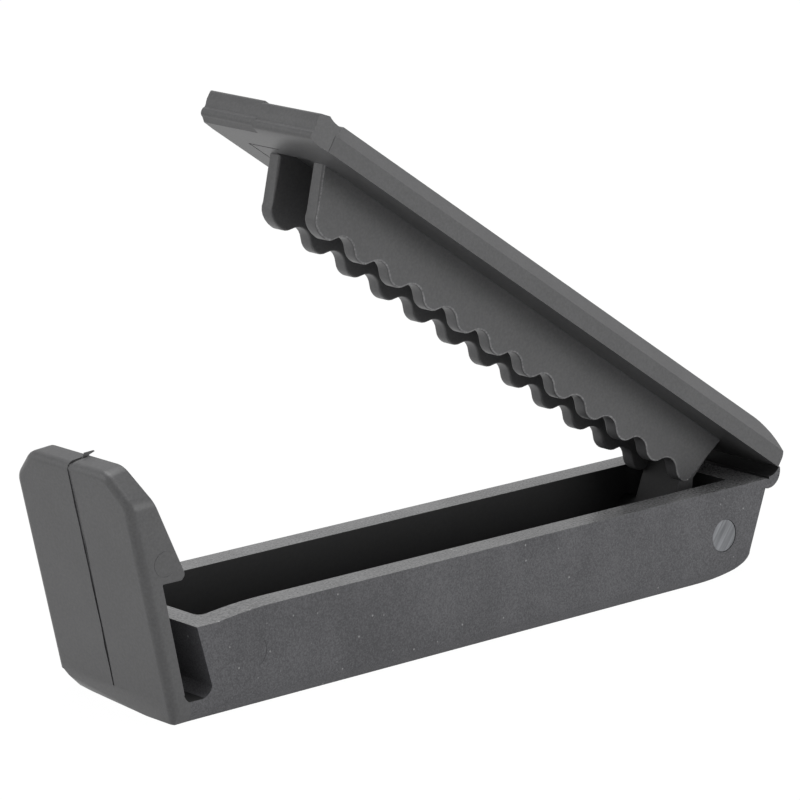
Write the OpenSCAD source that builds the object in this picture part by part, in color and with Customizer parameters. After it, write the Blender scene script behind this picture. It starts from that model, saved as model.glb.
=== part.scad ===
// Hinged locking clip. A trough with a springy latch plate at one end takes a lid
// with two toothed blades, which turns on a pin at the other end.
// X runs along the trough towards the hinge, Y across it and Z up.
// The origin is on the flat underside, midway along the rim.

/* [Trough] */
// Length of the rim
rim_len = 90; // [80:1:110]
// Width over the side walls
base_w = 19.6; // [18:0.2:24]
// Height of the rim above the underside
rim_h = 11.1; // [10.6:0.1:12]
// Thickness of each side wall
side_wall = 3.1; // [2.4:0.1:3.6]
// Thickness of the floor
floor_t = 1.9; // [1.6:0.1:2.1]
// Thickness of the wall beside the latch, at the rim
latch_wall = 3.1; // [2.4:0.1:4]
// Lean of the hinge end's outer face, in degrees
hinge_lean = 19; // [14:1:22]
// Length of the curve from the underside up into the hinge end
keel_len = 8.6; // [6:0.2:12]
// Height of that curve
keel_h = 2.7; // [2:0.1:3.4]
// Width of the bevel along the underside's edges
foot_bevel_w = 0.5; // [0.3:0.1:1.4]
// Height of the same bevel
foot_bevel_h = 1.8; // [0.8:0.1:1.9]

/* [Hinge] */
// Distance from the rim's hinge end in to the pin
pin_inset = 7.46; // [7:0.1:8]
// Height of the pin above the underside
pin_z = 5.34; // [5.1:0.1:5.6]
// Diameter of the pin
pin_d = 4; // [3.6:0.1:4.2]
// How much smaller the walls' holes are than the pin
pin_press = 0.04; // [0.02:0.01:0.06]
// Radial play of the pin in the lid's boss
pin_play = 0.05; // [0.03:0.01:0.08]
// Room round the lid's boss in the trough
boss_gap = 0.4; // [0.3:0.05:0.6]
// Angle of the open lid above the rim, in degrees
open_angle = 33.4; // [28:0.2:36]
// Radius of the curled lip that stops the open lid
lip_r = 1.9; // [1.8:0.05:2]
// Gap between the lip and the open lid's heel
stop_gap = 0.1; // [0.05:0.01:0.12]

/* [Lid] */
// Gap between the closed lid's tongue and the latch plate
tip_gap = 0.2; // [0.1:0.05:0.4]
// Distance from the pin back to the lid's heel
lid_heel = 3.95; // [3.8:0.05:4.1]
// Height of the lid's underside over the pin's axis
lid_rise = 10.9; // [10.7:0.1:11.4]
// Thickness of the lid
lid_t = 3.95; // [3.4:0.05:5]
// Width of the bevel along the lid's top edges
lid_bevel_w = 2; // [1:0.1:3]
// Height of the same bevel
lid_bevel_h = 2; // [1:0.1:2.6]
// Length of the rounding over the heel
heel_round = 5.45; // [4:0.05:8]
// Height of the heel's straight back
heel_back = 1; // [0.6:0.1:1.4]
// Drop of the tongue's tip below the lid's top
tip_drop = 0.5; // [0.2:0.1:0.7]
// Thickness of the tongue's tip
tip_t = 3.1; // [2.4:0.1:3.3]
// Radius of the finger groove across the tongue
groove_r = 3.4; // [2.4:0.1:4.4]
// Depth of that groove below the lid's top
groove_deep = 0.9; // [0.6:0.1:1.2]
// Distance from the groove's middle to the free end
groove_in = 3; // [2.4:0.1:3.6]
// Distance of the tongue's sides in from the lid's sides
tip_side_in = 0.5; // [0.2:0.1:1]
// Radius of the tongue's corners
tip_r = 1; // [0.6:0.1:2]
// Radius of the edge under the tongue's end
tip_under = 0.7; // [0.5:0.1:1]
// Length of the step under the tip
tip_slope = 1.4; // [1.2:0.1:3]

/* [Blades] */
// Gap between the two blades
blade_gap = 5.5; // [4.6:0.1:5.8]
// Thickness of each blade
blade_t = 1.85; // [1.6:0.05:2.4]
// Distance between the hollows of a blade's wavy edge
tooth_pitch = 6.2; // [5.4:0.1:6.2]
// Depth of the hollows
tooth_deep = 1.48; // [1:0.02:1.8]
// Height of the tooth tips over the pin's axis
tooth_rise = 3.98; // [3.6:0.02:4.2]
// Distance from the pin to the first hollow
tooth_start = 8.4; // [7.8:0.1:9]
// Gap between the blades' front edge and the trough's end wall
blade_end_gap = 0.84; // [0.6:0.02:1.6]
// Slope of the blades' front edge over its height
blade_front = 2.4; // [1.6:0.1:2.8]
// Height of the curve from the last tooth up into the front edge
front_curve = 1.9; // [1:0.1:2.4]
// Slope of the blades' rear edge over its height
blade_rear = 2.5; // [1:0.1:2.6]
// Length of the curve from the first tooth up into the rear edge
rear_curve_w = 1.5; // [1:0.1:2]
// Height of that curve
rear_curve_h = 1.3; // [0.8:0.1:1.8]
// Distance from the pin to the lug's rear face at the lid
lug_in = 0.4; // [0.2:0.1:0.8]
// Thickness of the lug at the lid
lug_t = 4.6; // [3.6:0.1:5]
// Distance from the pin to the rear face of the lug's neck
neck_in = 1.9; // [1.6:0.1:2]
// Thickness of the neck
neck_t = 2.3; // [2:0.1:2.8]

/* [Latch] */
// Gap between the latch plate and the trough
slot_w = 3.3; // [2.8:0.1:3.6]
// Thickness of the web under the gap
web_t = 2.3; // [2.1:0.1:2.5]
// Radius at the foot of the trough's wall in the gap
slot_r = 1.5; // [0.8:0.1:1.5]
// Lean of the latch plate, in degrees
latch_lean = 12.6; // [10:0.2:14]
// Extra lean of its outer face, which thickens it upwards
latch_draft = 0.8; // [0.4:0.1:1.4]
// Thickness of the plate at the underside's level
latch_t = 2.21; // [2.1:0.01:2.6]
// Height of the plate's top above the underside
latch_h = 28.74; // [26:0.1:32]
// Thickness of the plate's top
latch_top = 3.1; // [2.6:0.1:3.6]
// Rise of the plate's top towards its inner edge
latch_crown = 0.4; // [0.2:0.1:0.8]
// How far the catch stands out from the plate
catch_reach = 2.63; // [2:0.1:2.8]
// Gap between the catch and the closed lid's tip
catch_gap = 0.15; // [0.1:0.01:0.3]
// Angle of the closed lid below the rim, in degrees
closed_angle = 2.5; // [2.2:0.1:3]
// Height of the catch's blunt nose
nose_h = 0.85; // [0.5:0.05:1.2]
// How far the nose stands out past the catch's lower edge
nose_out = 0.43; // [0.2:0.01:0.6]
// Length of the steep ramp over the catch
ramp_h = 9.23; // [7:0.1:10]
// Extra thickness at the ramp's upper end
ramp_out = 0.4; // [0.2:0.1:0.8]
// Height of the cut-off top corners
corner_h = 3.14; // [2:0.1:5]
// Width of the cut-off top corners
corner_w = 4.03; // [2:0.1:6]
// Radius of the plate's rounded root, on which it flexes
flex_r = 0.8; // [0.7:0.05:0.85]
// Gap round that root
flex_gap = 0.1; // [0.08:0.01:0.12]
// Height of the flex axis above the web
flex_rise = 0.7; // [0.6:0.05:0.7]

/* [Hidden] */
$fn = 96;
curve_steps = 12;
through = 1;

// Trough
rim_x = rim_len / 2;
half_w = base_w / 2;
cavity_w = base_w - 2 * side_wall;
pin_x = rim_x - pin_inset;
pocket_r = pin_z - floor_t;
keel_x = rim_x - (rim_h - keel_h) * tan(hinge_lean);

// Latch: X of its inner and outer face at a height, and of the wall beside it
function wall_out(z) = -rim_x + (rim_h - z) * tan(latch_lean);
function latch_in(z) = wall_out(z) - slot_w;
function latch_out(z) = latch_in(0) - latch_t - z * tan(latch_lean + latch_draft);
flex_z = web_t + flex_rise;
flex_x = (latch_in(flex_z) + latch_out(flex_z)) / 2;
flex_shoulder = 0.2;
flex_notch = 0.4;

// Closed lid: its reach, which leaves tip_gap beside the leaning latch plate at half
// the tip's height, the height of the tip's top corner and the catch just over it
lid_top = lid_rise + lid_t;
tip_top = lid_top - tip_drop;
tip_mid = tip_top - tip_t / 2;
lid_reach = (rim_x + pin_x + slot_w - tip_gap - tip_mid * sin(closed_angle)
    - (rim_h - pin_z - tip_mid * cos(closed_angle)) * tan(latch_lean))
    / (cos(closed_angle) + sin(closed_angle) * tan(latch_lean));
tip_z = pin_z - lid_reach * sin(closed_angle) + tip_top * cos(closed_angle);
catch_z = tip_z + catch_gap;
nose_x = latch_in(catch_z) + catch_reach + nose_out;
ramp_x = latch_out(catch_z + nose_h + ramp_h) + latch_top + ramp_out;

// Open lid: where its heel's lower edge lies, and the lip that meets it
heel_x = pin_x + lid_heel * cos(open_angle) + lid_rise * sin(open_angle);
heel_z = pin_z - lid_heel * sin(open_angle) + lid_rise * cos(open_angle);
lip_x = heel_x - lip_r * cos(open_angle);
lip_z = heel_z + lip_r * sin(open_angle);
lip_drop = 1.5;

// Blades, with as many hollows as their length takes before the front curve
blade_len = pin_x + rim_x - latch_wall - blade_end_gap;
front_x = blade_len - blade_front;
front_room = 1;
teeth = floor((front_x - front_room - tooth_start) / tooth_pitch + 0.5);
blade_in = blade_gap / 2;
blade_out = blade_in + blade_t;
hollow_rise = tooth_rise + tooth_deep;
wave_r = (pow(tooth_pitch / 4, 2) + pow(tooth_deep / 2, 2)) / tooth_deep;
boss_r = pocket_r - boss_gap;

// A quarter of an ellipse from angle a to a + 90, as points
function quarter(x, z, rx, rz, a) =
    [for (i = [0 : curve_steps]) [
        x + rx * cos(a + 90 * i / curve_steps),
        z + rz * sin(a + 90 * i / curve_steps)]];

// Height of a blade's edge at a distance t from a hollow's middle
function edge_rise(t) = abs(t) <= tooth_pitch / 4
    ? hollow_rise - wave_r + sqrt(wave_r * wave_r - t * t)
    : tooth_rise + wave_r - sqrt(wave_r * wave_r - pow(tooth_pitch / 2 - abs(t), 2));

// Extrudes an outline in X and Z across Y, evenly about the middle
module across(w) {
    translate([0, w / 2, 0])
        rotate([90, 0, 0])
            linear_extrude(height = w)
                children();
}

// Extrudes an outline in Y and Z along X, from x0 to x1
module along(x0, x1) {
    translate([x0, 0, 0])
        rotate([90, 0, 90])
            linear_extrude(height = x1 - x0)
                children();
}

// Side view of the trough and the web that carries the latch plate
module trough_side() {
    difference() {
        polygon(concat(
            [[latch_out(foot_bevel_h) + foot_bevel_w, 0]],
            quarter(keel_x - keel_len, keel_h, keel_len, keel_h, 270),
            [[rim_x, rim_h],
             [wall_out(rim_h), rim_h],
             [wall_out(web_t), web_t],
             [latch_in(web_t) + flex_notch, web_t],
             [latch_in(flex_z - flex_shoulder), flex_z - flex_shoulder],
             [latch_out(flex_z - flex_shoulder), flex_z - flex_shoulder],
             [latch_out(foot_bevel_h), foot_bevel_h]]));
        translate([flex_x, flex_z])
            circle(r = flex_r + flex_gap);
    }
    slot_fillet();
}

// Round inner corner between the web and the trough's end wall
module slot_fillet() {
    reach = slot_r * tan((90 - latch_lean) / 2);
    difference() {
        polygon([
            [wall_out(web_t) - reach, web_t],
            [wall_out(web_t), web_t - 0.1],
            [wall_out(web_t) + 0.1, web_t],
            [wall_out(web_t + reach * cos(latch_lean)), web_t + reach * cos(latch_lean)]]);
        translate([wall_out(web_t) - reach, web_t + slot_r])
            circle(r = slot_r);
    }
}

// Side view of the hollow, which ends in a round pocket about the pin
module cavity_side() {
    deep = rim_h + through;
    translate([-rim_x + latch_wall, floor_t])
        square([pin_x + rim_x - latch_wall, deep - floor_t]);
    translate([pin_x, pin_z]) {
        circle(r = pocket_r);
        translate([-pocket_r, 0])
            square([2 * pocket_r, deep - pin_z]);
    }
}

// Curled lip on the hinge end, with a hollow that follows the lid's heel
module lip_side() {
    difference() {
        union() {
            translate([lip_x, lip_z - lip_drop])
                circle(r = lip_r + stop_gap / 2);
            polygon([
                [pin_x + pocket_r, rim_h],
                [pin_x + pocket_r, pin_z],
                [rim_x - (rim_h - pin_z) * tan(hinge_lean), pin_z],
                [rim_x, rim_h]]);
        }
        translate([lip_x, lip_z])
            circle(r = lip_r + stop_gap);
        translate([lip_x - 3 * lip_r, rim_h])
            square([3 * lip_r, 2 * lip_r]);
        translate([lip_x - lip_r, heel_z - stop_gap])
            square([3 * lip_r, lip_r]);
        translate([lip_x - 3 * lip_r - through, lip_z - 3 * lip_r])
            square([pin_x + pocket_r - lip_x + 3 * lip_r + through, 3 * lip_r]);
    }
}

// Cross-section of the trough's outside, bevelled along its lower edges
module trough_end() {
    polygon([
        [-half_w + foot_bevel_w, 0],
        [half_w - foot_bevel_w, 0],
        [half_w, foot_bevel_h],
        [half_w, rim_h + 2 * lip_r],
        [-half_w, rim_h + 2 * lip_r],
        [-half_w, foot_bevel_h]]);
}

module trough() {
    color([0.37, 0.37, 0.38])
    difference() {
        intersection() {
            across(base_w) {
                trough_side();
                lip_side();
            }
            along(latch_out(rim_h) - through, heel_x + 2 * lip_r)
                trough_end();
        }
        across(cavity_w)
            cavity_side();
        translate([pin_x, half_w + through, pin_z])
            rotate([90, 0, 0])
                cylinder(d = pin_d - pin_press, h = base_w + 2 * through);
    }
}

module hinge_pin() {
    color([0.49, 0.49, 0.5])
    translate([pin_x, half_w, pin_z])
        rotate([90, 0, 0])
            cylinder(d = pin_d, h = base_w);
}

// Side view of the latch plate, from its rounded root to its top
module latch_side() {
    ramp_z = catch_z + nose_h + ramp_h;
    root_z = flex_z + flex_notch;
    polygon([
        [flex_x - flex_r, flex_z],
        [flex_x + flex_r, flex_z],
        [latch_in(root_z), root_z],
        [latch_in(catch_z), catch_z],
        [nose_x - nose_out, catch_z],
        [nose_x, catch_z + nose_h / 2],
        [nose_x, catch_z + nose_h],
        [ramp_x, ramp_z],
        [latch_out(latch_h) + latch_top, latch_h + latch_crown],
        [latch_out(latch_h), latch_h],
        [latch_out(root_z), root_z]]);
    translate([flex_x, flex_z])
        circle(r = flex_r);
}

// Front view of the latch plate, with its top corners cut off
module latch_front() {
    polygon([
        [-half_w, 0],
        [half_w, 0],
        [half_w, latch_h - corner_h],
        [half_w - corner_w - latch_crown * corner_w / corner_h, latch_h + latch_crown],
        [-half_w + corner_w + latch_crown * corner_w / corner_h, latch_h + latch_crown],
        [-half_w, latch_h - corner_h]]);
}

module latch_plate() {
    color([0.4, 0.4, 0.4])
    intersection() {
        across(base_w)
            latch_side();
        along(latch_out(latch_h) - through, nose_x + through)
            latch_front();
    }
}

// Side view of the lid's plate. Here and below the lid lies level, with the pin
// at the origin, its free end towards -X and distances from the pin negated.
module plate_side() {
    difference() {
        polygon(concat(
            [[-lid_reach + tip_slope, lid_rise],
             [lid_heel, lid_rise]],
            quarter(lid_heel - heel_round, lid_rise + heel_back, heel_round, lid_t - heel_back, 0),
            [[-lid_reach + groove_in, lid_top],
             [-lid_reach + groove_in, tip_top],
             [-lid_reach, tip_top]],
            quarter(-lid_reach + tip_under, tip_top - tip_t + tip_under, tip_under, tip_under, 180)));
        translate([-lid_reach + groove_in, lid_top - groove_deep + groove_r])
            circle(r = groove_r);
    }
}

// Cross-section of the lid's plate, bevelled along its top edges
module plate_end() {
    polygon([
        [-half_w, 0],
        [half_w, 0],
        [half_w, lid_top - lid_bevel_h],
        [half_w - lid_bevel_w, lid_top],
        [-half_w + lid_bevel_w, lid_top],
        [-half_w, lid_top - lid_bevel_h]]);
}

// Outline of the tongue from above, with its round corners
module tongue_top() {
    tip_half = half_w - tip_side_in;
    translate([-lid_reach + tip_r, -tip_half])
        square([groove_in - tip_r, 2 * tip_half]);
    translate([-lid_reach, -tip_half + tip_r])
        square([groove_in, 2 * tip_half - 2 * tip_r]);
    for (side = [-1, 1])
        translate([-lid_reach + tip_r, side * (tip_half - tip_r)])
            circle(r = tip_r);
}

// The plate, bevelled as far as the groove, and the plain tongue past it
module plate() {
    intersection() {
        across(base_w)
            plate_side();
        union() {
            along(-lid_reach + groove_in, lid_heel + through)
                plate_end();
            translate([0, 0, lid_rise - through])
                linear_extrude(height = lid_t + 2 * through)
                    tongue_top();
        }
    }
}

// Side view of a blade: front edge, wavy edge and rear edge
module blade_side() {
    rear = tooth_start - tooth_pitch / 2;
    front = tooth_start + (teeth - 0.5) * tooth_pitch;
    root = lid_rise + lid_t / 4;
    steps = 2 * curve_steps;
    wave = [for (n = [teeth - 1 : -1 : 0], i = [1 : steps])
        let (t = tooth_pitch * (0.5 - i / steps))
        [-(tooth_start + n * tooth_pitch + t), edge_rise(t)]];
    polygon(concat(
        [[-blade_len, root]],
        quarter(-front, tooth_rise + front_curve, front_x - front, front_curve, 180),
        wave,
        quarter(-rear, tooth_rise + rear_curve_h, rear_curve_w, rear_curve_h, 270),
        [[-(rear - rear_curve_w - blade_rear), root]]));
}

// Side view of the lug that carries the boss
module lug_side() {
    root = lid_rise + lid_t / 4;
    difference() {
        union() {
            circle(r = boss_r);
            polygon([
                [0, 0],
                [-neck_in, lid_rise / 2],
                [-lug_in, root],
                [-lug_in - lug_t, root],
                [-neck_in - neck_t, lid_rise / 2],
                [-boss_r, 0]]);
        }
        circle(r = pin_d / 2 + pin_play);
    }
}

module lid() {
    color([0.36, 0.36, 0.36])
    translate([pin_x, 0, pin_z])
        rotate([0, open_angle, 0]) {
            plate();
            for (side = [-1, 1])
                translate([0, side * (blade_in + blade_out) / 2, 0])
                    across(blade_t)
                        blade_side();
            across(blade_gap)
                lug_side();
        }
}

trough();
hinge_pin();
latch_plate();
lid();
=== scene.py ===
"""A hinged locking clip: a trough with a springy latch plate takes a toothed lid on a steel pin."""
import math

import bpy
from mathutils import Matrix, Vector


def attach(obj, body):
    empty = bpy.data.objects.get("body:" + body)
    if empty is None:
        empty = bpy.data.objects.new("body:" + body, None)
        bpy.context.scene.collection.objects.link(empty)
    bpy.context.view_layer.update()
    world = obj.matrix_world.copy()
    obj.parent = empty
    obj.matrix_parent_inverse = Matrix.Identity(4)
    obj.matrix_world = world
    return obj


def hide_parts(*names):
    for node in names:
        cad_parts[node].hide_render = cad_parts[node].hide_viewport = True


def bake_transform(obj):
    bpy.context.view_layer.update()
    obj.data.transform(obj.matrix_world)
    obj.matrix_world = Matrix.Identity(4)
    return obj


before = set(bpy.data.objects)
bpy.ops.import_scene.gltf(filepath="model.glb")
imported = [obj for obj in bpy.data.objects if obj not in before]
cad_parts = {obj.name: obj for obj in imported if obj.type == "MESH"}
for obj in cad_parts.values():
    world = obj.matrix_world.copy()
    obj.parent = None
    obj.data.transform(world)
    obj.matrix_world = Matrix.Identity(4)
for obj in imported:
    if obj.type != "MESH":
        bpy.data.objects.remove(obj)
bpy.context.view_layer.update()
MM = 0.001


# --- Trough -----------------------------------------------------------------------------
# The long moulded body with its pocket, the curled stop lip at the hinge end and the thin
# web that runs out under the latch. Glass-filled nylon, moulded against a spark-eroded
# cavity, which leaves a fine dark speckle on every outer wall.
def arc(x, z, radius_x, radius_z, start, end, steps=10):
    """Points of an ellipse's arc in X and Z, from one angle to another, in degrees."""
    angles = [math.radians(start + (end - start) * i / steps) for i in range(steps + 1)]
    return [(x + radius_x * math.cos(a), z + radius_z * math.sin(a)) for a in angles]


def deselect():
    if bpy.context.object and bpy.context.object.mode != "OBJECT":
        bpy.ops.object.mode_set(mode="OBJECT")
    bpy.ops.object.select_all(action="DESELECT")


def activate(piece):
    deselect()
    piece.select_set(True)
    bpy.context.view_layer.objects.active = piece


def prism(name, outline, near, far):
    """A solid of one outline in X and Z, in mm, that runs along Y from near to far."""
    deselect()
    bpy.ops.mesh.primitive_circle_add(vertices=len(outline), fill_type="NGON")
    piece = bpy.context.object
    piece.name = name
    for vertex, (x, z) in zip(piece.data.vertices, outline):
        vertex.co = (x * MM, near * MM, z * MM)
    bpy.ops.object.mode_set(mode="EDIT")
    bpy.ops.mesh.select_all(action="SELECT")
    bpy.ops.mesh.extrude_region_move(TRANSFORM_OT_translate={"value": (0, (far - near) * MM, 0)})
    bpy.ops.mesh.select_all(action="SELECT")
    bpy.ops.mesh.normals_make_consistent(inside=False)
    bpy.ops.object.mode_set(mode="OBJECT")
    return piece


def slice_off(piece, point, normal):
    """Cuts away what lies past a plane and closes the cut. The point is in mm."""
    activate(piece)
    bpy.ops.object.mode_set(mode="EDIT")
    bpy.ops.mesh.select_all(action="SELECT")
    bpy.ops.mesh.bisect(
        plane_co=[c * MM for c in point], plane_no=normal, use_fill=True, clear_outer=True)
    bpy.ops.object.mode_set(mode="OBJECT")


def combine(piece, other, operation):
    """Joins another solid to a piece or cuts it away, and removes that solid."""
    modifier = piece.modifiers.new(operation.lower(), "BOOLEAN")
    modifier.operation = operation
    modifier.solver = "EXACT"
    modifier.object = other
    activate(piece)
    bpy.ops.object.modifier_apply(modifier=modifier.name)
    bpy.data.objects.remove(other)


def round_edges(piece, radius, chosen, segments=3):
    """Rounds the edges that chosen(middle, direction, sharpness) picks. Lengths are in mm."""
    activate(piece)
    bpy.ops.object.mode_set(mode="EDIT")
    bpy.ops.mesh.select_mode(type="EDGE")
    bpy.ops.mesh.select_all(action="SELECT")
    bpy.ops.mesh.remove_doubles(threshold=0.002 * MM)
    bpy.ops.mesh.select_all(action="DESELECT")
    bpy.ops.object.mode_set(mode="OBJECT")
    mesh = piece.data
    sides = {}
    for face in mesh.polygons:
        for key in face.edge_keys:
            sides.setdefault(key, []).append(face.normal)
    for edge in mesh.edges:
        ends = [mesh.vertices[i].co / MM for i in edge.vertices]
        normals = sides.get(tuple(sorted(edge.vertices)), [])
        turn = math.degrees(normals[0].angle(normals[1], 0)) if len(normals) == 2 else 0
        direction = (ends[1] - ends[0]).normalized()
        edge.select = turn > 1 and chosen((ends[0] + ends[1]) / 2, direction, turn)
    bpy.ops.object.mode_set(mode="EDIT")
    bpy.ops.mesh.bevel(
        offset=radius * MM, segments=segments, affect="EDGES", clamp_overlap=True)
    bpy.ops.object.mode_set(mode="OBJECT")


def finish_surface(piece, material, angle=32):
    """Smooths the shading across shallow edges and gives the piece its one material."""
    activate(piece)
    bpy.ops.object.mode_set(mode="EDIT")
    bpy.ops.mesh.select_all(action="SELECT")
    bpy.ops.mesh.remove_doubles(threshold=0.001 * MM)
    bpy.ops.mesh.normals_make_consistent(inside=False)
    bpy.ops.object.mode_set(mode="OBJECT")
    bpy.ops.object.shade_smooth_by_angle(angle=math.radians(angle))
    # Large faces keep their own normal, so that only the roundings shade.
    modifier = piece.modifiers.new("large_faces_flat", "WEIGHTED_NORMAL")
    modifier.keep_sharp = True
    bpy.ops.object.modifier_apply(modifier=modifier.name)
    piece.data.materials.clear()
    piece.data.materials.append(material)


def linear(colour):
    """An sRGB hex colour as the linear RGBA that a shader takes."""
    parts = [int(colour[i:i + 2], 16) / 255 for i in (1, 3, 5)]
    return [c / 12.92 if c <= 0.04045 else ((c + 0.055) / 1.055) ** 2.4 for c in parts] + [1]


def add_node(material, kind, settings=(), links=()):
    """Adds one node: settings set its properties or its sockets, links feed its sockets."""
    node = material.node_tree.nodes.new(kind)
    for name, value in dict(settings).items():
        if isinstance(name, str) and hasattr(node, name):
            setattr(node, name, value)
        else:
            node.inputs[name].default_value = value
    for name, source in dict(links).items():
        material.node_tree.links.new(source, node.inputs[name])
    return node


def new_material(name):
    material = bpy.data.materials.new(name)
    material.use_nodes = True
    shader = material.node_tree.nodes["Principled BSDF"]
    place = add_node(material, "ShaderNodeTexCoord").outputs["Object"]
    return material, shader, place


# Sizes in mm. The trough runs along X, its side walls stand at HALF_W, its rim is at RIM_H.
RIM_X, HALF_W, RIM_H = 45.0, 9.8, 11.1
CAVITY_W, FLOOR_T, LATCH_WALL = 6.7, 1.9, 3.1
PIN_X, PIN_Z, PIN_D = 37.54, 5.34, 4.0
POCKET_R = PIN_Z - FLOOR_T
LIP_X, LIP_Z, LIP_BEAD_R, LIP_HOLLOW_R = 45.25, 13.31, 1.95, 2.0
SLOT_W, WEB_T, SLOT_R = 3.3, 2.3, 1.5
FOOT_W, FOOT_H = 0.5, 1.8
LATCH_LEAN = 12.6
SEAM_X = -45.85
KEEL_X, KEEL_L, KEEL_H = 42.1, 8.6, 2.7
SAG_X, SAG_L, SAG_H = -33.0, 9.0, 0.6


def wall_out(z):
    """Where the wall that faces the latch stands at a height z, in mm."""
    return -RIM_X + (RIM_H - z) * math.tan(math.radians(LATCH_LEAN))


fillet = SLOT_R * math.tan(math.radians((90 - LATCH_LEAN) / 2))
trough = prism(
    "trough_moulding",
    [(SEAM_X, 0)]
    + arc(KEEL_X - KEEL_L, KEEL_H, KEEL_L, KEEL_H, 270, 360)
    + [(RIM_X, RIM_H), (wall_out(RIM_H), RIM_H)]
    + arc(wall_out(WEB_T) - fillet, WEB_T + SLOT_R, SLOT_R, SLOT_R, -LATCH_LEAN, -90, 6)
    + [(SEAM_X, WEB_T)],
    -HALF_W, HALF_W)
for side in (-1, 1):
    slice_off(trough, (0, side * (HALF_W - FOOT_W), 0), (0, side * FOOT_H, -FOOT_W))
round_edges(trough, 0.9, lambda p, d, turn: abs(p.y) > HALF_W - 0.05 and 1 < p.z < 2.5
            and abs(d.x) > 0.9 and turn < 30, 4)
pocket = prism(
    "pocket",
    [(-RIM_X + LATCH_WALL, RIM_H + 2), (-RIM_X + LATCH_WALL, FLOOR_T)]
    + arc(PIN_X, PIN_Z, POCKET_R, POCKET_R, 270, 360)
    + [(PIN_X + POCKET_R, RIM_H + 2)],
    -CAVITY_W, CAVITY_W)
round_edges(pocket, 1.0, lambda p, d, turn: abs(d.z) > 0.9 and p.x < 0)
combine(trough, pocket, "DIFFERENCE")
# The plastic shrank a little at the latch end, where it is thick, so the rim sags there.
sag = prism(
    "sag",
    [(SAG_X - SAG_L * i / 6, RIM_H - SAG_H * (i / 6) ** 2) for i in range(7)]
    + [(-RIM_X - 5, RIM_H - SAG_H), (-RIM_X - 5, RIM_H + 1), (SAG_X, RIM_H + 1)],
    -HALF_W - 1, HALF_W + 1)
combine(trough, sag, "DIFFERENCE")
round_edges(trough, 0.9, lambda p, d, turn: abs(d.z) > 0.9 and p.x < -40 and abs(p.y) > 9.7, 4)
round_edges(trough, 0.4, lambda p, d, turn: p.z > RIM_H - 0.65 and turn > 20 and abs(d.z) < 0.5)

# The curled lip: a round bead along the hinge end, hollowed where the open lid rests on it.
lip = prism(
    "lip", arc(LIP_X, LIP_Z - 1.5, LIP_BEAD_R, LIP_BEAD_R, 0, 350, 35), -HALF_W, HALF_W)
hollow = prism(
    "hollow", arc(LIP_X, LIP_Z, LIP_HOLLOW_R, LIP_HOLLOW_R, 0, 350, 35), -HALF_W - 1, HALF_W + 1)
inner = prism(
    "inner",
    [(40, 8), (RIM_X - 0.9, 8), (RIM_X - 0.9, RIM_H - 0.05), (LIP_X, RIM_H - 0.05),
     (LIP_X, 16), (40, 16)],
    -HALF_W - 1, HALF_W + 1)
combine(lip, hollow, "DIFFERENCE")
combine(lip, inner, "DIFFERENCE")
slice_off(lip, (0, 0, LIP_Z - 1.07), (0, 0, 1))
round_edges(lip, 0.25, lambda p, d, turn: turn > 40 and p.x > LIP_X and p.z < LIP_Z - 1.2)
combine(trough, lip, "UNION")


def press_crescent(piece, side, disc, core):
    """Cuts the faint crescent that a pin of the mould left in one side of a piece.

    It is a disc without its core. Each is a middle and two radii in X and Z, in mm."""
    ring = prism("ring", arc(*disc, 0, 348.75, 31), -0.03, 0.03)
    middle = prism("core", arc(*core, 0, 348.75, 31), -1, 1)
    combine(ring, middle, "DIFFERENCE")
    ring.data.transform(Matrix.Translation((0, side * HALF_W * MM, 0)))
    combine(piece, ring, "DIFFERENCE")


# The pin's holes are drawn 0.02 mm wider all round, so that pin and wall never share a face.
# The ejector pins of the mould left a mark on each side.
HOLE_R = PIN_D / 2 + 0.02
EJECT_X, EJECT_Z, EJECT_R = -36.8, 6.1, 1.85
for side in (-1, 1):
    near, far = sorted((side * (CAVITY_W - 1), side * (HALF_W + 1)))
    hole = prism("hole", arc(PIN_X, PIN_Z, HOLE_R, HOLE_R, 0, 354.375, 63), near, far)
    combine(trough, hole, "DIFFERENCE")
    press_crescent(
        trough, side, (EJECT_X, EJECT_Z, EJECT_R, EJECT_R), (EJECT_X - 0.11, EJECT_Z, EJECT_R, EJECT_R))


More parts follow.
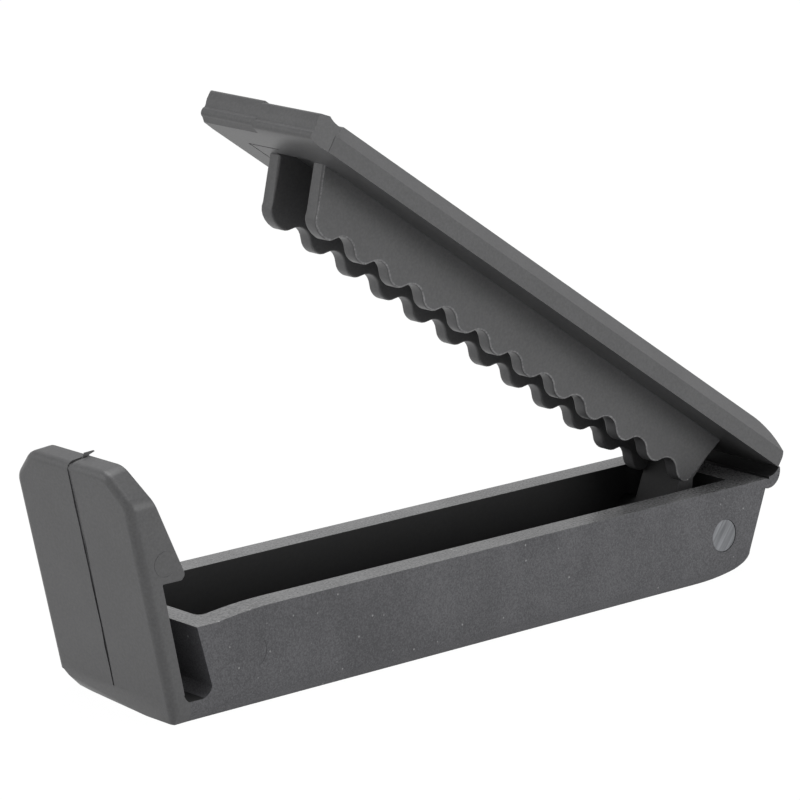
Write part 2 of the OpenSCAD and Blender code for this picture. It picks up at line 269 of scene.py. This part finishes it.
def speckled(name, dark, light, grain_size, relief, roughness, specks=0.0):
    """A moulded plastic whose tint and relief vary from grain to grain, with the grain in metres.

    Larger clouds, about 7 mm wide, lie over the grain, and pale specks stand about 2 mm apart."""
    material, shader, place = new_material(name)
    grain = add_node(
        material, "ShaderNodeTexNoise", {"Scale": 1 / grain_size, "Detail": 3}, {"Vector": place})
    cloud = add_node(material, "ShaderNodeTexNoise", {"Scale": 150, "Detail": 3}, {"Vector": place})
    both = add_node(
        material, "ShaderNodeMix", {0: 0.3}, {2: grain.outputs["Fac"], 3: cloud.outputs["Fac"]})
    tint = add_node(
        material, "ShaderNodeMapRange", {"From Min": 0.38, "From Max": 0.66},
        {"Value": both.outputs[0]})
    colour = add_node(
        material, "ShaderNodeMix", {"data_type": "RGBA", 6: linear(dark), 7: linear(light)},
        {0: tint.outputs["Result"]})
    cells = add_node(material, "ShaderNodeTexVoronoi", {"Scale": 520}, {"Vector": place})
    dots = add_node(
        material, "ShaderNodeMapRange", {"From Min": 0.08, "From Max": 0.03, "To Max": specks},
        {"Value": cells.outputs["Distance"]})
    # Pale specks are mixed over the colour.
    flecked = add_node(
        material, "ShaderNodeMix", {"data_type": "RGBA", 7: linear("#a8a8a8")},
        {0: dots.outputs["Result"], 6: colour.outputs[2]})
    bump = add_node(
        material, "ShaderNodeBump", {"Strength": relief, "Distance": 0.00004},
        {"Height": grain.outputs["Fac"]})
    links = material.node_tree.links
    links.new(flecked.outputs[2], shader.inputs["Base Color"])
    links.new(bump.outputs["Normal"], shader.inputs["Normal"])
    shader.inputs["Roughness"].default_value = roughness
    shader.inputs["IOR"].default_value = 1.5
    return material


# Outside: grains of 0.18 mm from the spark-eroded mould give a matt, slightly cloudy grey.
eroded = speckled("eroded_nylon", "#39393c", "#58585b", 0.00018, 0.5, 0.6, 0.6)
# Inside, in the slot and under the lid at the hinge end: a near-black grey, painted shade for these
# hollows where hardly any light comes back.
painted_shade = speckled("painted_shade_nylon", "#141415", "#1b1b1c", 0.0004, 0.1, 0.7)
# The rim is smoother where the mould closes, flattened by grinding; its paler grey is a painted sheen
# for the light that the up-facing rim catches.
painted_sheen = speckled("painted_sheen_nylon", "#515152", "#7b7b7c", 0.0003, 0.5, 0.24, 1.0)
finish_surface(trough, eroded)
trough.data.materials.append(painted_shade)
trough.data.materials.append(painted_sheen)
for face in trough.data.polygons:
    x, y, z = face.center / MM
    # Faces in the pocket, in the slot and at the hinge end under the lid get the painted shade.
    inside = -42.2 < x < 41.3 and abs(y) < CAVITY_W + 0.05 and FLOOR_T - 0.1 < z < RIM_H - 0.3
    by_hinge = x > 38 and abs(y) < HALF_W - 0.05 and z > 8 and face.normal.x < 0.3
    in_slot = x < -44 and z > WEB_T - 0.1 and abs(y) < HALF_W - 0.7 and face.normal.y ** 2 < 0.5
    # Up-facing faces of the rim get the painted sheen.
    on_rim = z > RIM_H - 1.0 and face.normal.z > 0.3 and x < 42
    face.material_index = 2 if on_rim else int(inside or in_slot or by_hinge)
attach(trough, "base")
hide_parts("trough")

# --- Hinge pin --------------------------------------------------------------------------
# A 4 mm steel rod, cropped to the width of the clip and pressed through both side walls.
# Its cut ends show the slanted marks of the cut; the barrel between them is painted near-black as
# shade.
deselect()
bpy.ops.mesh.primitive_cylinder_add(
    vertices=64, radius=PIN_D / 2 * MM, depth=(2 * HALF_W - 0.1) * MM,
    location=(PIN_X * MM, 0, PIN_Z * MM), rotation=(math.pi / 2, 0, 0))
pin = bpy.context.object
pin.name = "steel_pin"
bpy.ops.object.transform_apply(location=True, rotation=True, scale=True)
round_edges(pin, 0.12, lambda p, d, turn: turn > 60, 2)


def cropped_steel():
    """Bare cropped steel: dull, with slanted marks of the cut, 0.4 mm apart, across its ends."""
    material, shader, place = new_material("cropped_steel")
    turned = add_node(
        material, "ShaderNodeMapping",
        {"vector_type": "TEXTURE", "Rotation": (0, math.radians(38), 0), "Scale": (1, 1, 12)},
        {"Vector": place})
    marks = add_node(
        material, "ShaderNodeTexNoise", {"Scale": 2600, "Detail": 1}, {"Vector": turned.outputs[0]})
    colour = add_node(
        material, "ShaderNodeMix", {"data_type": "RGBA", 6: linear("#36383a"), 7: linear("#94969a")},
        {0: marks.outputs["Fac"]})
    bump = add_node(
        material, "ShaderNodeBump", {"Strength": 0.4, "Distance": 0.00003},
        {"Height": marks.outputs["Fac"]})
    links = material.node_tree.links
    links.new(colour.outputs[2], shader.inputs["Base Color"])
    links.new(bump.outputs["Normal"], shader.inputs["Normal"])
    shader.inputs["Metallic"].default_value = 0.3
    shader.inputs["Roughness"].default_value = 0.5
    return material


def shaded_barrel_steel():
    """The rod's barrel: near-black, painted shade where it runs hidden in the trough."""
    material, shader, place = new_material("shaded_barrel_steel")
    shader.inputs["Base Color"].default_value = linear("#141415")
    shader.inputs["Roughness"].default_value = 0.45
    return material


finish_surface(pin, cropped_steel())
pin.data.materials.append(shaded_barrel_steel())
# The barrel, all but its bare ends, takes the painted shade.
for face in pin.data.polygons:
    face.material_index = int(abs(face.center.y) < (HALF_W - 0.3) * MM)
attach(pin, "base")
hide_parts("hinge_pin")

# --- Latch plate ------------------------------------------------------------------------
# The springy plate that rises from the web, with the catch that holds the tongue. It is
# one moulding with the trough. Its faces are smooth.
LATCH_T, LATCH_H, OUTER_LEAN = 2.21, 28.74, 13.4
CATCH_Z, CATCH_REACH, NOSE_OUT, NOSE_H = 16.1, 2.63, 0.43, 0.85
RAMP_H = 9.23
CORNER_W, CORNER_H = 4.03, 3.14


def latch_in(z):
    """Where the plate's face to the trough stands at a height z, in mm."""
    return wall_out(z) - SLOT_W


def latch_out(z):
    """Where the plate's outer face stands at a height z, in mm."""
    return latch_in(0) - LATCH_T - z * math.tan(math.radians(OUTER_LEAN))


nose_x = latch_in(CATCH_Z) + CATCH_REACH + NOSE_OUT
ramp_z = CATCH_Z + NOSE_H + RAMP_H
latch = prism(
    "latch_plate_moulding",
    [(latch_out(FOOT_H) + FOOT_W, 0), (SEAM_X, 0), (SEAM_X, WEB_T),
     (latch_in(WEB_T) + 0.3, WEB_T), (latch_in(WEB_T + 0.3), WEB_T + 0.3)]
    + [(latch_in(z), z) for z in (3.2, 4.2, 5.4, 8, 12)]
    + [(latch_in(CATCH_Z), CATCH_Z), (nose_x - NOSE_OUT, CATCH_Z),
       (nose_x, CATCH_Z + NOSE_H / 2), (nose_x, CATCH_Z + NOSE_H),
       (latch_out(ramp_z) + 3.5, ramp_z), (latch_out(LATCH_H) + 3.1, LATCH_H + 0.4),
       (latch_out(LATCH_H), LATCH_H)]
    + [(latch_out(z), z) for z in (12, 8, 5.4, 4.2, 3.2, 2.4, FOOT_H)],
    -HALF_W, HALF_W)
for side in (-1, 1):
    slice_off(latch, (0, side * HALF_W, LATCH_H - CORNER_H), (0, side * CORNER_H, CORNER_W))
round_edges(latch, 1.5, lambda p, d, turn: p.z > 24.5 and 10 < turn < 60 and abs(d.x) > 0.6
            and abs(d.y) < 0.3, 4)
round_edges(latch, 1.0, lambda p, d, turn: turn > 25 and p.z > 0.2 and p.x < latch_out(p.z) + 0.12
            and not (abs(d.y) > 0.9 and p.z < 20), 5)
round_edges(latch, 0.3, lambda p, d, turn: turn > 25 and p.z > 3.5
            and latch_out(p.z) + 0.6 < p.x < SEAM_X - 0.01)
for side in (-1, 1):
    slice_off(latch, (0, side * (HALF_W - FOOT_W), 0), (0, side * FOOT_H, -FOOT_W))
# The mould's edge was eased at the far lower corner of the outer face, in four flats: each
# goes through the face at y and z, and out_y and out_z say how it leans.
for y, z, out_y, out_z in (
        (9.4, 2.5, 0.85, -0.5), (8.2, 1.9, 0.5, -0.85), (5, 1.25, 0.15, -1), (0, 0.7, 0.1, -1)):
    slice_off(latch, (latch_out(z), y, z), (-0.9, out_y, out_z))

# Where the mould's halves meet, a groove with ragged sides runs up the outer face and over
# the top, and ends in a curl of flash.
GROOVE_FOOT = 2.5
top_x = latch_out(LATCH_H)
groove = prism(
    "parting_groove",
    [(latch_out(z) - 0.6, z) for z in (GROOVE_FOOT, LATCH_H + 0.6)]
    + [(top_x + 2.6, LATCH_H + 1), (top_x + 2.6, LATCH_H + 0.2),
       (top_x + 0.5, LATCH_H - 0.25), (top_x + 0.25, LATCH_H - 0.6),
       (latch_out(GROOVE_FOOT) + 0.15, GROOVE_FOOT)],
    -0.15, 0.15)
activate(groove)
bpy.ops.object.mode_set(mode="EDIT")
bpy.ops.mesh.select_all(action="SELECT")
bpy.ops.mesh.subdivide(number_cuts=10)
bpy.ops.object.mode_set(mode="OBJECT")
for vertex in groove.data.vertices:
    x, y, z = vertex.co / MM
    wander = 0.05 * math.sin(1.1 * z) + 0.04 * math.sin(2.9 * z + 1)
    width = 0.8 + 0.04 * z + 0.25 * math.sin(1.9 * z)
    vertex.co.y = (y * width - 0.05 - 0.018 * z + wander) * MM
combine(latch, groove, "DIFFERENCE")
flash = prism(
    "flash",
    [(top_x + 1.9, LATCH_H - 0.1), (top_x + 3.0, LATCH_H - 0.1),
     (top_x + 3.05, LATCH_H + 0.42), (top_x + 3.8, LATCH_H + 0.68),
     (top_x + 3.7, LATCH_H + 0.8), (top_x + 2.4, LATCH_H + 0.74)],
    -0.5, -0.38)
combine(latch, flash, "UNION")
for side in (-1, 1):
    press_crescent(latch, side, (-49.15, 18.4, 1.55, 1.45), (-49.08, 18.4, 1.5, 1.4))

# Moulded against a smooth face of the mould: an even grey with a soft satin gloss.
satin = speckled("satin_nylon", "#434344", "#4d4d4e", 0.0003, 0.12, 0.42)
finish_surface(latch, satin)
# The web's top, down in the slot, is painted dark as shade like the rest of the slot.
latch.data.materials.append(painted_shade)
for face in latch.data.polygons:
    face.material_index = int(face.center.z < (WEB_T + 1) * MM and face.normal.z > 0.3)
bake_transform(latch)
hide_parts("latch_plate")

# --- Lid --------------------------------------------------------------------------------
# The lid: a thick plate with a tongue, and under it two toothed blades with the boss
# between them that turns on the pin. One moulding, smooth satin nylon. It is drawn level,
# with the pin at the origin and its free end towards -X, and then turned open.
REACH, RISE, LID_T, HEEL = 85.9, 10.9, 3.95, 3.95
TOP, TOP_BEVEL = RISE + LID_T, 2.0
TIP_TOP, TIP_T, TIP_W = TOP - 0.5, 3.1, 9.3
GROOVE_R, GROOVE_IN, GROOVE_H = 3.4, 3.0, TOP - 0.9
BLADE_IN, BLADE_T = 2.75, 1.85
PITCH, DEEP, TIP, START, TEETH = 6.2, 1.48, 3.98, 8.4, 11
BLADE_LEN, FRONT_X = 78.6, 76.2
OPEN_ANGLE = 33.4


def lid_side(drop, out):
    """Outline of the plate and tongue, its end face dented over a bead, with the tip moved, in mm."""
    end, low = -REACH - out, TIP_TOP - TIP_T - drop
    return (
        [(-REACH + 1.4, RISE), (HEEL, RISE)]
        + arc(HEEL - 5.45, RISE + 1, 5.45, LID_T - 1, 0, 90, 14)
        + arc(-REACH + GROOVE_IN, GROOVE_H + GROOVE_R, GROOVE_R, GROOVE_R, 309, 241, 12)
        + arc(end + 0.3, TIP_TOP - drop - 0.3, 0.3, 0.3, 90, 180, 4)
        + [(end + dent, low + up) for up, dent in
           ((2.1, 0), (1.7, 0.1), (1.35, 0.24), (1.1, 0.26), (0.8, 0.04))]
        + arc(end + 0.6, low + 0.6, 0.6, 0.6, 180, 270, 5))


lid = prism("lid_moulding", lid_side(0, 0), -HALF_W, HALF_W)
slice_off(lid, (-REACH + GROOVE_IN, 0, 0), (-1, 0, 0))
for side in (-1, 1):
    slice_off(lid, (0, side * HALF_W, TOP - TOP_BEVEL), (0, side, 1))
round_edges(lid, 0.8, lambda p, d, turn: abs(d.x) > 0.9 and p.z > RISE + 1 and turn > 22, 4)
round_edges(lid, 0.3, lambda p, d, turn: turn > 50 and -REACH + GROOVE_IN + 0.5 < p.x < HEEL - 0.3)
# The two halves of the mould met a little out of line, so the tongue has a small jog.
for near, far, drop, out in ((-TIP_W, 0.3, 0.22, -0.03), (0.3, TIP_W, -0.04, -0.15)):
    half = prism("tongue", lid_side(drop, out), near, far)
    slice_off(half, (-REACH + GROOVE_IN + 0.3, 0, 0), (1, 0, 0))
    # Its sides splay until they meet the sides of the lid.
    for vertex in half.data.vertices:
        x, y = vertex.co.x / MM, vertex.co.y / MM
        if abs(y) > 1:
            vertex.co.y *= 1 + (HALF_W / TIP_W - 1) * (x + REACH) / (GROOVE_IN + 0.3)
    round_edges(half, 0.9, lambda p, d, turn: p.x < -REACH + 0.2 and abs(d.z) > 0.9
                and abs(p.y) > 9, 5)
    round_edges(half, 0.4, lambda p, d, turn: turn > 50 and abs(p.y) > 9
                and p.x < -REACH + GROOVE_IN + 0.2)
    combine(lid, half, "UNION")

# The fine line that the corner of the mould's insert left round the far blade's foot.
LINE_DEEP = 0.18
for start, end, near, far in ((-80.3, -80.1, 1.1, 6.1), (-80.3, -75.2, 5.9, 6.1)):
    line = prism(
        "line",
        [(start, RISE - 1), (end, RISE - 1), (end, RISE + LINE_DEEP), (start, RISE + LINE_DEEP)],
        near, far)
    combine(lid, line, "DIFFERENCE")

# Two toothed blades: hollows and tips are arcs of one radius that meet in a smooth wave.
wave_r = ((PITCH / 4) ** 2 + (DEEP / 2) ** 2) / DEEP


def tooth_edge(t):
    """Height of the wavy edge at a distance t from a hollow's middle."""
    if abs(t) <= PITCH / 4:
        return TIP + DEEP - wave_r + math.sqrt(wave_r ** 2 - t ** 2)
    return TIP + wave_r - math.sqrt(wave_r ** 2 - (PITCH / 2 - abs(t)) ** 2)


rear = START - PITCH / 2
front = START + (TEETH - 0.5) * PITCH
STEPS = 16
wave = []
for n in reversed(range(TEETH)):
    for i in range(1, STEPS + 1):
        t = PITCH * (0.5 - i / STEPS)
        wave.append((-(START + n * PITCH + t), tooth_edge(t)))
blade_outline = (
    [(-BLADE_LEN, RISE + 1)]
    + arc(-front, TIP + 1.9, FRONT_X - front, 1.9, 180, 270, 6)
    + wave
    + arc(-rear, TIP + 1.3, 1.5, 1.3, 270, 360, 6)[1:]
    + [(-(rear - 4), RISE + 1)])
for side in (-1, 1):
    near, far = sorted((side * BLADE_IN, side * (BLADE_IN + BLADE_T)))
    blade = prism("blade", blade_outline, near, far)
    round_edges(blade, 0.25, lambda p, d, turn: turn > 60 and abs(d.y) < 0.5, 2)
    combine(lid, blade, "UNION")
# The plate is hollowed a little between the blades, as far as the boss.
channel = prism(
    "channel",
    [(-BLADE_LEN - 0.2, RISE - 1), (-BLADE_LEN - 0.2, RISE + 0.3), (-BLADE_LEN + 0.6, RISE + 0.9),
     (-6, RISE + 0.9), (-6, RISE - 1)],
    -BLADE_IN - 0.01, BLADE_IN + 0.01)
combine(lid, channel, "DIFFERENCE")
# The boss turns on the pin with 0.05 mm of play and clears the pocket's round end by 0.4 mm.
boss_r = POCKET_R - 0.4
bore_r = PIN_D / 2 + 0.05
lug = prism(
    "lug",
    [(-0.4, RISE + 1), (-1.9, RISE / 2)]
    + arc(0, 0, boss_r, boss_r, 100, -180, 28)
    + [(-4.2, RISE / 2), (-5, RISE + 1)],
    -BLADE_IN - 0.3, BLADE_IN + 0.3)
bore = prism("bore", arc(0, 0, bore_r, bore_r, 0, 354.375, 63), -6, 6)
combine(lug, bore, "DIFFERENCE")
combine(lid, lug, "UNION")
lid.data.transform(Matrix.Translation(Vector((PIN_X, 0, PIN_Z)) * MM)
                   @ Matrix.Rotation(math.radians(OPEN_ANGLE), 4, "Y"))
finish_surface(lid, satin, 24)
# The lug is painted dark as shade, like the pocket that it turns in, and a thin pale line along
# the blades' outer edges is a painted highlight on the teeth's flash.
lid.data.materials.append(painted_shade)
lid.data.materials.append(painted_sheen)
turned = Matrix.Rotation(math.radians(-OPEN_ANGLE), 3, "Y")
for face in lid.data.polygons:
    x, y, z = turned @ (face.center / MM - Vector((PIN_X, 0, PIN_Z)))
    on_lug = abs(y) < BLADE_IN + 0.01 and z < RISE + 0.2 and x > -6
    on_edge = abs(y) > BLADE_IN + BLADE_T - 0.1 and z < RISE - 1 and 0.6 < abs(face.normal.y) < 0.97
    face.material_index = 1 if on_lug else 2 * int(on_edge)
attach(lid, "lid")
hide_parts("lid")

# --- Studio -----------------------------------------------------------------------------
# A white table and backdrop, a large soft light overhead, one at the left, one in front, and a
# long lens that looks at the near side and the latch end from a little above.
deselect()
bpy.ops.mesh.primitive_plane_add(size=6, location=(0, 0, -0.00002))
table = bpy.context.object
table.name = "table"
paper = bpy.data.materials.new("white_paper")
paper.use_nodes = True
tree = paper.node_tree
shader = tree.nodes["Principled BSDF"]
shader.inputs["Base Color"].default_value = linear("#c4c4c4")
shader.inputs["Roughness"].default_value = 1
shader.inputs["Specular IOR Level"].default_value = 0
glow = add_node(paper, "ShaderNodeEmission", {"Color": (1, 1, 1, 1), "Strength": 1.03})
rays = add_node(paper, "ShaderNodeLightPath")
shown = add_node(
    paper, "ShaderNodeMath", {"operation": "MAXIMUM"},
    {0: rays.outputs["Is Camera Ray"], 1: rays.outputs["Is Glossy Ray"]})
share = add_node(paper, "ShaderNodeMath", {"operation": "MULTIPLY", 1: 0.96}, {0: shown.outputs[0]})
mix = add_node(
    paper, "ShaderNodeMixShader", {},
    {0: share.outputs[0], 1: shader.outputs[0], 2: glow.outputs[0]})
tree.links.new(mix.outputs[0], tree.nodes["Material Output"].inputs["Surface"])
table.data.materials.append(paper)

world = bpy.data.worlds.new("studio")
bpy.context.scene.world = world
world.use_nodes = True
tree = world.node_tree
for node in list(tree.nodes):
    tree.nodes.remove(node)
rays = tree.nodes.new("ShaderNodeLightPath")
white = tree.nodes.new("ShaderNodeBackground")
white.inputs["Strength"].default_value = 1
fill = tree.nodes.new("ShaderNodeBackground")
fill.inputs["Strength"].default_value = 0.8
both = tree.nodes.new("ShaderNodeMath")
both.operation = "MAXIMUM"
mix = tree.nodes.new("ShaderNodeMixShader")
out = tree.nodes.new("ShaderNodeOutputWorld")
tree.links.new(rays.outputs["Is Camera Ray"], both.inputs[0])
tree.links.new(rays.outputs["Is Transmission Ray"], both.inputs[1])
tree.links.new(both.outputs[0], mix.inputs[0])
tree.links.new(fill.outputs[0], mix.inputs[1])
tree.links.new(white.outputs[0], mix.inputs[2])
tree.links.new(mix.outputs[0], out.inputs[0])


def soft_light(name, place, aim, size, watts):
    deselect()
    bpy.ops.object.light_add(type="AREA", location=place)
    lamp = bpy.context.object
    lamp.name = name
    lamp.data.size = size
    lamp.data.energy = watts
    lamp.rotation_euler = (Vector(aim) - Vector(place)).to_track_quat("-Z", "Y").to_euler()


soft_light("overhead", (0.05, 0.05, 0.6), (0, 0, 0), 0.5, 2.9)
soft_light("left_side", (-0.55, 0.3, 0.22), (0, 0, 0.02), 0.4, 0.95)
soft_light("front", (0.3, -0.58, 0.13), (0, 0, 0.02), 0.4, 1.55)

camera_data = bpy.data.cameras.new("long_lens")
camera_data.lens = 198.69
camera_data.sensor_width = 36
camera_data.clip_start = 0.01
camera = bpy.data.objects.new("camera", camera_data)
bpy.context.scene.collection.objects.link(camera)
place, aim = Vector((-0.33608, -0.36137, 0.14725)), Vector((-0.00630, 0, 0.02759))
camera.location = place
camera.rotation_euler = (aim - place).to_track_quat("-Z", "Y").to_euler()
bpy.context.scene.camera = camera
bpy.context.scene.view_settings.view_transform = "Standard"
